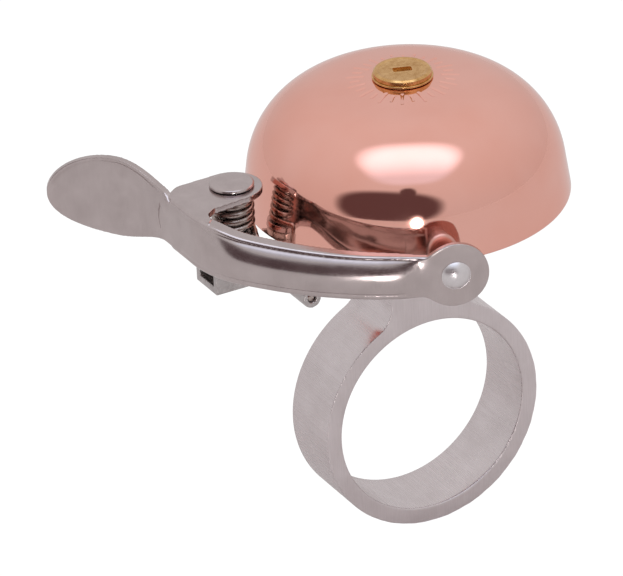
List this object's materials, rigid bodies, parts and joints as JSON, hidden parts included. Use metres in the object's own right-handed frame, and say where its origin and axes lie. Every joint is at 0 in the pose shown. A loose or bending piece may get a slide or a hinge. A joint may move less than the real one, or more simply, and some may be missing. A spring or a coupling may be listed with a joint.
{
  "type": "bicycle bell",
  "caption": "Lever-strike bicycle bell: a copper-finished dome on a post, a sprung thumb lever with a hammer, and a spacer ring that stacks on the fork steerer.",
  "frame": {"origin": "centre of the spacer ring's bore", "axes": "+Y along the bore, +Z along the dome's axis from the ring towards the dome, lever pivot on the -X side"},
  "size_m": [0.0684, 0.0511, 0.0677],
  "materials": {
    "dome_copper": "mirror polished, copper coloured",
    "brass": "turned, lightly tarnished",
    "lever_steel": "bright nickel over tumbled sheet",
    "knob_steel": "polished",
    "stamped_steel": "satin stamped sheet",
    "zinc_steel": "zinc plated",
    "spring_steel": "drawn wire",
    "ring_aluminium": "brushed outside, sawn end faces",
    "fibre": "pressed fibre"
  },
  "bodies": {
    "base": {"spacer_ring": "ring_aluminium", "base_bracket": "stamped_steel", "lock_washer": "zinc_steel", "bell_post": "zinc_steel", "dome_seat_washer": "fibre", "dome": "dome_copper", "dome_top_washer": "brass", "dome_screw": "brass", "pivot_rivet": "lever_steel", "pivot_bush": "zinc_steel", "pivot_thrust_washer": "zinc_steel", "return_spring": "spring_steel"},
    "lever": {"lever": "lever_steel", "hammer_knob": "knob_steel", "hammer_rivet": "knob_steel"}
  },
  "joints": [
    {"name": "lever_pivot", "type": "hinge", "parent": "base", "child": "lever", "pos_m": [-0.0268, 0, 0.0369], "axis": [0, 0, 1], "range_deg": [-25, 2], "stiffness_Nm_per_rad": 0.15, "deforming": ["return_spring"]}
  ]
}
